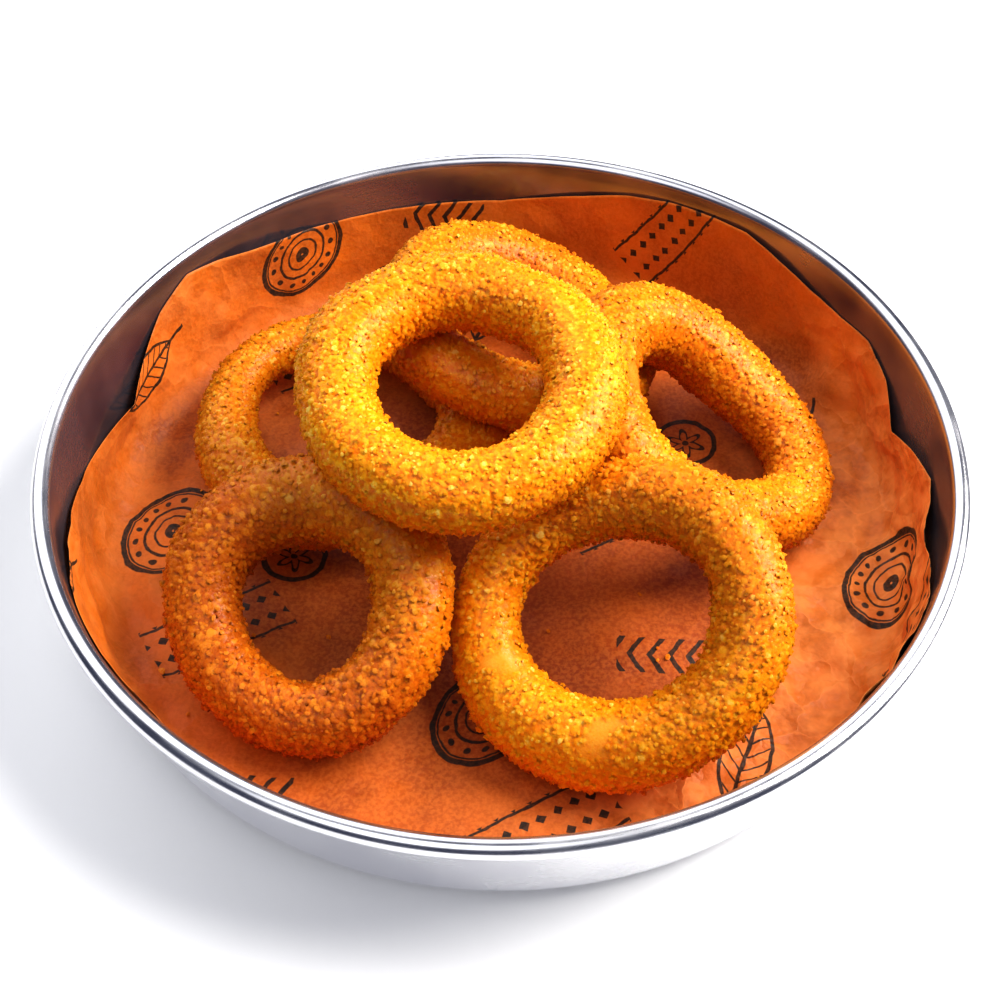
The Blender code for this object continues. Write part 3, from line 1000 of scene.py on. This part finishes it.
def makeCrumbs(name, shape, look, layer):
    # free crumbs: a second layer that lies on the crust, each sunk into it by part of its size
    loose = layCrumbs(shape, look, look["seed"] + 100, look["pitch"] * crust["loosePitch"])
    chance = np.random.default_rng(look["seed"] + 200)
    height, _ = crumbHeights(loose["spot"], loose["turn"], loose["section"], layer)
    count = len(height)
    kept = chance.uniform(size=count) < crust["loose"]
    kept = kept & (chance.uniform(size=count) > crust["bareClear"] * loose["bare"])
    small, large = crust["looseSize"]
    radii = look["size"] * (small + (large - small) * chance.beta(*crust["looseShape"], count))
    rise = height + radii * chance.uniform(*crust["looseRise"], count)
    centres = (loose["spot"] + loose["normal"] * rise[:, None])[kept]
    toastAndShade = toastAndSideShade(centres, shape, look)
    # painted light on crumbs facing up, painted shade below
    tone = crested(loose["tone"], loose["normal"])[kept]
    return crumbMesh(name + "_crumbs", centres, loose["normal"][kept], radii[kept],
                     {"tone": tone, "toastAndShade": toastAndShade, "bare": 0 * toastAndShade}, chance)


crumbLooks = {
    "golden": [(0.0, (0.88, 0.264, 0.003)), (0.45, (0.91, 0.366, 0.006)),
               (0.75, (0.94, 0.475, 0.018)), (1.0, (0.97, 0.690, 0.150))],
    "baked": [(0.0, (0.49, 0.104, 0.003)), (0.5, (0.63, 0.170, 0.005)),
              (1.0, (0.82, 0.310, 0.020))],
    "gapShade": (0.88, 0.205, 0.002, 1),
    "bakedGapShade": (0.53, 0.088, 0.003, 1),
    "batter": (0.92, 0.43, 0.050, 1),
    "gapShadeDepth": (0.15, 0.80),     # painted shade between crumbs: darkest, and where it ends
    "gapShadeAmount": 0.55,
    "batterAmount": 0.45,
    "specular": 0.22,
    "speckScale": 1700.0,
    "speckTone": 0.7,
    "crownLightDepth": (0.55, 1.25),   # painted light: crowns of crumbs paler, painted shade: low parts darker
    "crownLight": (-0.10, 0.10),
    "roughness": (0.22, 0.50),
    "bumpStrength": 0.35,
    "bumpDepth": 0.15 * mm,
}


def crumbMaterial():
    # each crumb's own tone picks its colour, golden or baked, with painted shade in the gaps
    # between crumbs
    looks = crumbLooks
    material, tree, shader = newMaterial("goldenCrumbs", {
        "Specular IOR Level": looks["specular"]})
    tone, depth, toastAndShade, bare = meshValues(tree, "tone", "depth", "toastAndShade", "bare")
    speck = grain(tree, objectPoint(tree), looks["speckScale"], 1)
    speckTone = looks["speckTone"]
    mixed = calc(tree, "MULTIPLY_ADD", speck["Height"], speckTone,
                 calc(tree, "ADD", tone, -speckTone / 2))
    # painted light on crumb crowns, painted shade low down
    crownLight = between(tree, depth, *looks["crownLightDepth"], *looks["crownLight"], soft=False)
    mixed = calc(tree, "ADD", mixed, crownLight)
    golden, baked = ramp(tree, mixed, looks["golden"]), ramp(tree, mixed, looks["baked"])
    # baked where browned, and where painted shade darkens one side of a ring
    colour = mixColours(tree, toastAndShade, golden, baked)
    # painted shade: deeper orange low between crumbs
    gapShade = between(tree, depth, *looks["gapShadeDepth"], looks["gapShadeAmount"], 0)
    gapShadeColour = mixColours(tree, toastAndShade, looks["gapShade"], looks["bakedGapShade"])
    colour = mixColours(tree, gapShade, colour, gapShadeColour)
    batter = calc(tree, "MULTIPLY", bare, looks["batterAmount"])
    finish(tree, shader, looks, speck["Height"], {
        "Base Color": mixColours(tree, batter, colour, looks["batter"]),
        "Roughness": between(tree, speck["Mask"], 0, 1, *looks["roughness"], soft=False)})
    return material


def fallenCrumbs(shapes):
    # crumbs on the paper round the rings' feet, at either side of each tube
    chance = np.random.default_rng(crust["fallenSeed"])
    spots = []
    for shape in shapes:
        count = crust["fallen"]
        side = math.pi * chance.integers(0, 2, count)
        beside = chance.gamma(*crust["fallenReach"], count)
        reach, _ = ringPoint(shape, chance.uniform(0, fullTurn, count), side)
        outward = reach - shape["middle"]
        outward = outward / np.linalg.norm(outward, axis=1)[:, None]
        spots.append(reach + outward * (np.where(side > 0, -1, 1) * beside)[:, None])
    spots = np.concatenate(spots)
    radius = np.hypot(spots[:, 0], spots[:, 1])
    onFloor = radius < dish["cornerMiddle"]
    spots, radius = spots[onFloor], radius[onFloor]
    radii = chance.uniform(*crust["fallenSize"], len(radius))
    centres = paperPoint(np.arctan2(spots[:, 1], spots[:, 0]), radius / dish["cornerMiddle"])[0]
    centres[:, 2] += 0.75 * radii
    up = np.broadcast_to((0.0, 0.0, 1.0), centres.shape)
    return crumbMesh("fallen_crumbs", centres, up, radii, {
        "tone": chance.beta(*crust["fallenTone"], len(radius)),
        "toastAndShade": chance.uniform(*crust["fallenToast"], len(radius)),
        "bare": np.zeros(len(radius))}, chance)


goldenCrumbs = crumbMaterial()
ringShapes = {}
for ringName, ringLook in rings.items():
    ringShape = ringShapes[ringName] = readRing(ringName)
    crumbLayer = layCrumbs(ringShape, ringLook, ringLook["seed"], ringLook["pitch"])
    crustPiece = makeCrust(ringName, ringShape, ringLook, crumbLayer)
    place(crustPiece, goldenCrumbs, "golden_crumbs", ringName)
    crumbPiece = makeCrumbs(ringName, ringShape, ringLook, crumbLayer)
    place(crumbPiece, goldenCrumbs, "golden_crumbs")
    loose = len(crumbPiece.data.polygons) // 20
    print(ringName, len(crumbLayer["size"]), "crumbs in the crust,", loose, "on it")
lowerRings = [shape for name, shape in ringShapes.items() if name != "ring_top"]
place(fallenCrumbs(lowerRings), goldenCrumbs, "golden_crumbs")
print("crumbs fallen on the paper")


studio = {
    "floor": [(0.92, 0.92, 0.925, 1), (0.91, 0.91, 0.91, 1)],
    "floorReach": 3.0,
    "floorDrop": 0.2 * mm,
    "floorRoughness": 0.6,
    "floorGlow": 0.12,
    "keyDirection": (0.690, 0.147, 0.707),
    "keyDistance": 1.0,
    "keySize": 0.78,
    "keyPower": 20.5,
    "keyColour": (1.0, 0.97, 0.93),
    "room": (0.080, 0.088, 0.135),       # the dim studio round the lights
    "screens": [((-0.406, 0.675, 0.616), 2.2, 0.80, 0.93),    # direction, strength, and cosines
                ((-0.185, -0.362, 0.914), 2.0, 0.88, 0.97)],  # where it starts and is full
    "gamma": 0.80,
    "camera": (-0.3 * mm, -286.6 * mm, 344.1 * mm),
    "tilt": 41.17,
    "lens": 70,
    "sensor": 36,
}


def makeFloor():
    # a wide plane just under the dish
    side, drop = studio["floorReach"], -studio["floorDrop"]
    corners = [(-side, -side, drop), (side, -side, drop), (side, side, drop), (-side, side, drop)]
    piece = addMesh("floor", corners, [np.array([[0, 1, 2, 3]])])
    material, tree, shader = newMaterial("paleFloor", {
        "Roughness": studio["floorRoughness"], "Emission Color": (1, 1, 1, 1),
        "Emission Strength": studio["floorGlow"]})
    tint = grain(tree, objectPoint(tree), 6, 2)
    shade = mixColours(tree, tint["Mask"], *studio["floor"])
    tree.links.new(shade, shader.inputs["Base Color"])
    piece.data.materials.append(material)
    return piece


def makeLight():
    # one round soft light, facing the dish from its direction
    data = bpy.data.lights.new("key", "AREA")
    data.shape = "DISK"
    data.size = studio["keySize"]
    data.energy = studio["keyPower"]
    data.color = studio["keyColour"]
    light = bpy.data.objects.new("key", data)
    direction = np.array(studio["keyDirection"]) / np.linalg.norm(studio["keyDirection"])
    light.location = direction * studio["keyDistance"]
    light.rotation_euler = Vector(direction).to_track_quat("Z", "Y").to_euler()
    bpy.context.scene.collection.objects.link(light)


def makeSky():
    # a dim room with two big pale screens: one low behind the dish, one high in front of it
    world = bpy.data.worlds.new("studio")
    world.use_nodes = True
    tree = world.node_tree
    ray = put(tree, "TexCoord", out=0)
    level = 0.0
    for direction, strength, start, full in studio["screens"]:
        facing = put(tree, "VectorMath", {"operation": "DOT_PRODUCT"},
                     {0: ray, 1: direction}, out=1)
        screen = between(tree, facing, start, full, 0, strength)
        level = calc(tree, "ADD", level, screen)
    light = put(tree, "VectorMath", {"operation": "SCALE"}, {0: (1, 1, 1), 3: level})
    colour = put(tree, "VectorMath", {"operation": "ADD"}, {0: light, 1: studio["room"]})
    background = tree.nodes["Background"]
    tree.links.new(colour, background.inputs[0])
    bpy.context.scene.world = world


def makeCamera():
    # looks down at the dish from in front, without shift or depth of field
    data = bpy.data.cameras.new("camera")
    data.lens = studio["lens"]
    data.sensor_width = studio["sensor"]
    camera = bpy.data.objects.new("camera", data)
    camera.location = studio["camera"]
    camera.rotation_euler = (math.radians(studio["tilt"]), 0, 0)
    bpy.context.scene.collection.objects.link(camera)
    bpy.context.scene.camera = camera


makeFloor()
makeLight()
makeSky()
makeCamera()
viewSettings = bpy.context.scene.view_settings
viewSettings.view_transform = "Standard"
viewSettings.gamma = studio["gamma"]
print("floor, light and camera")
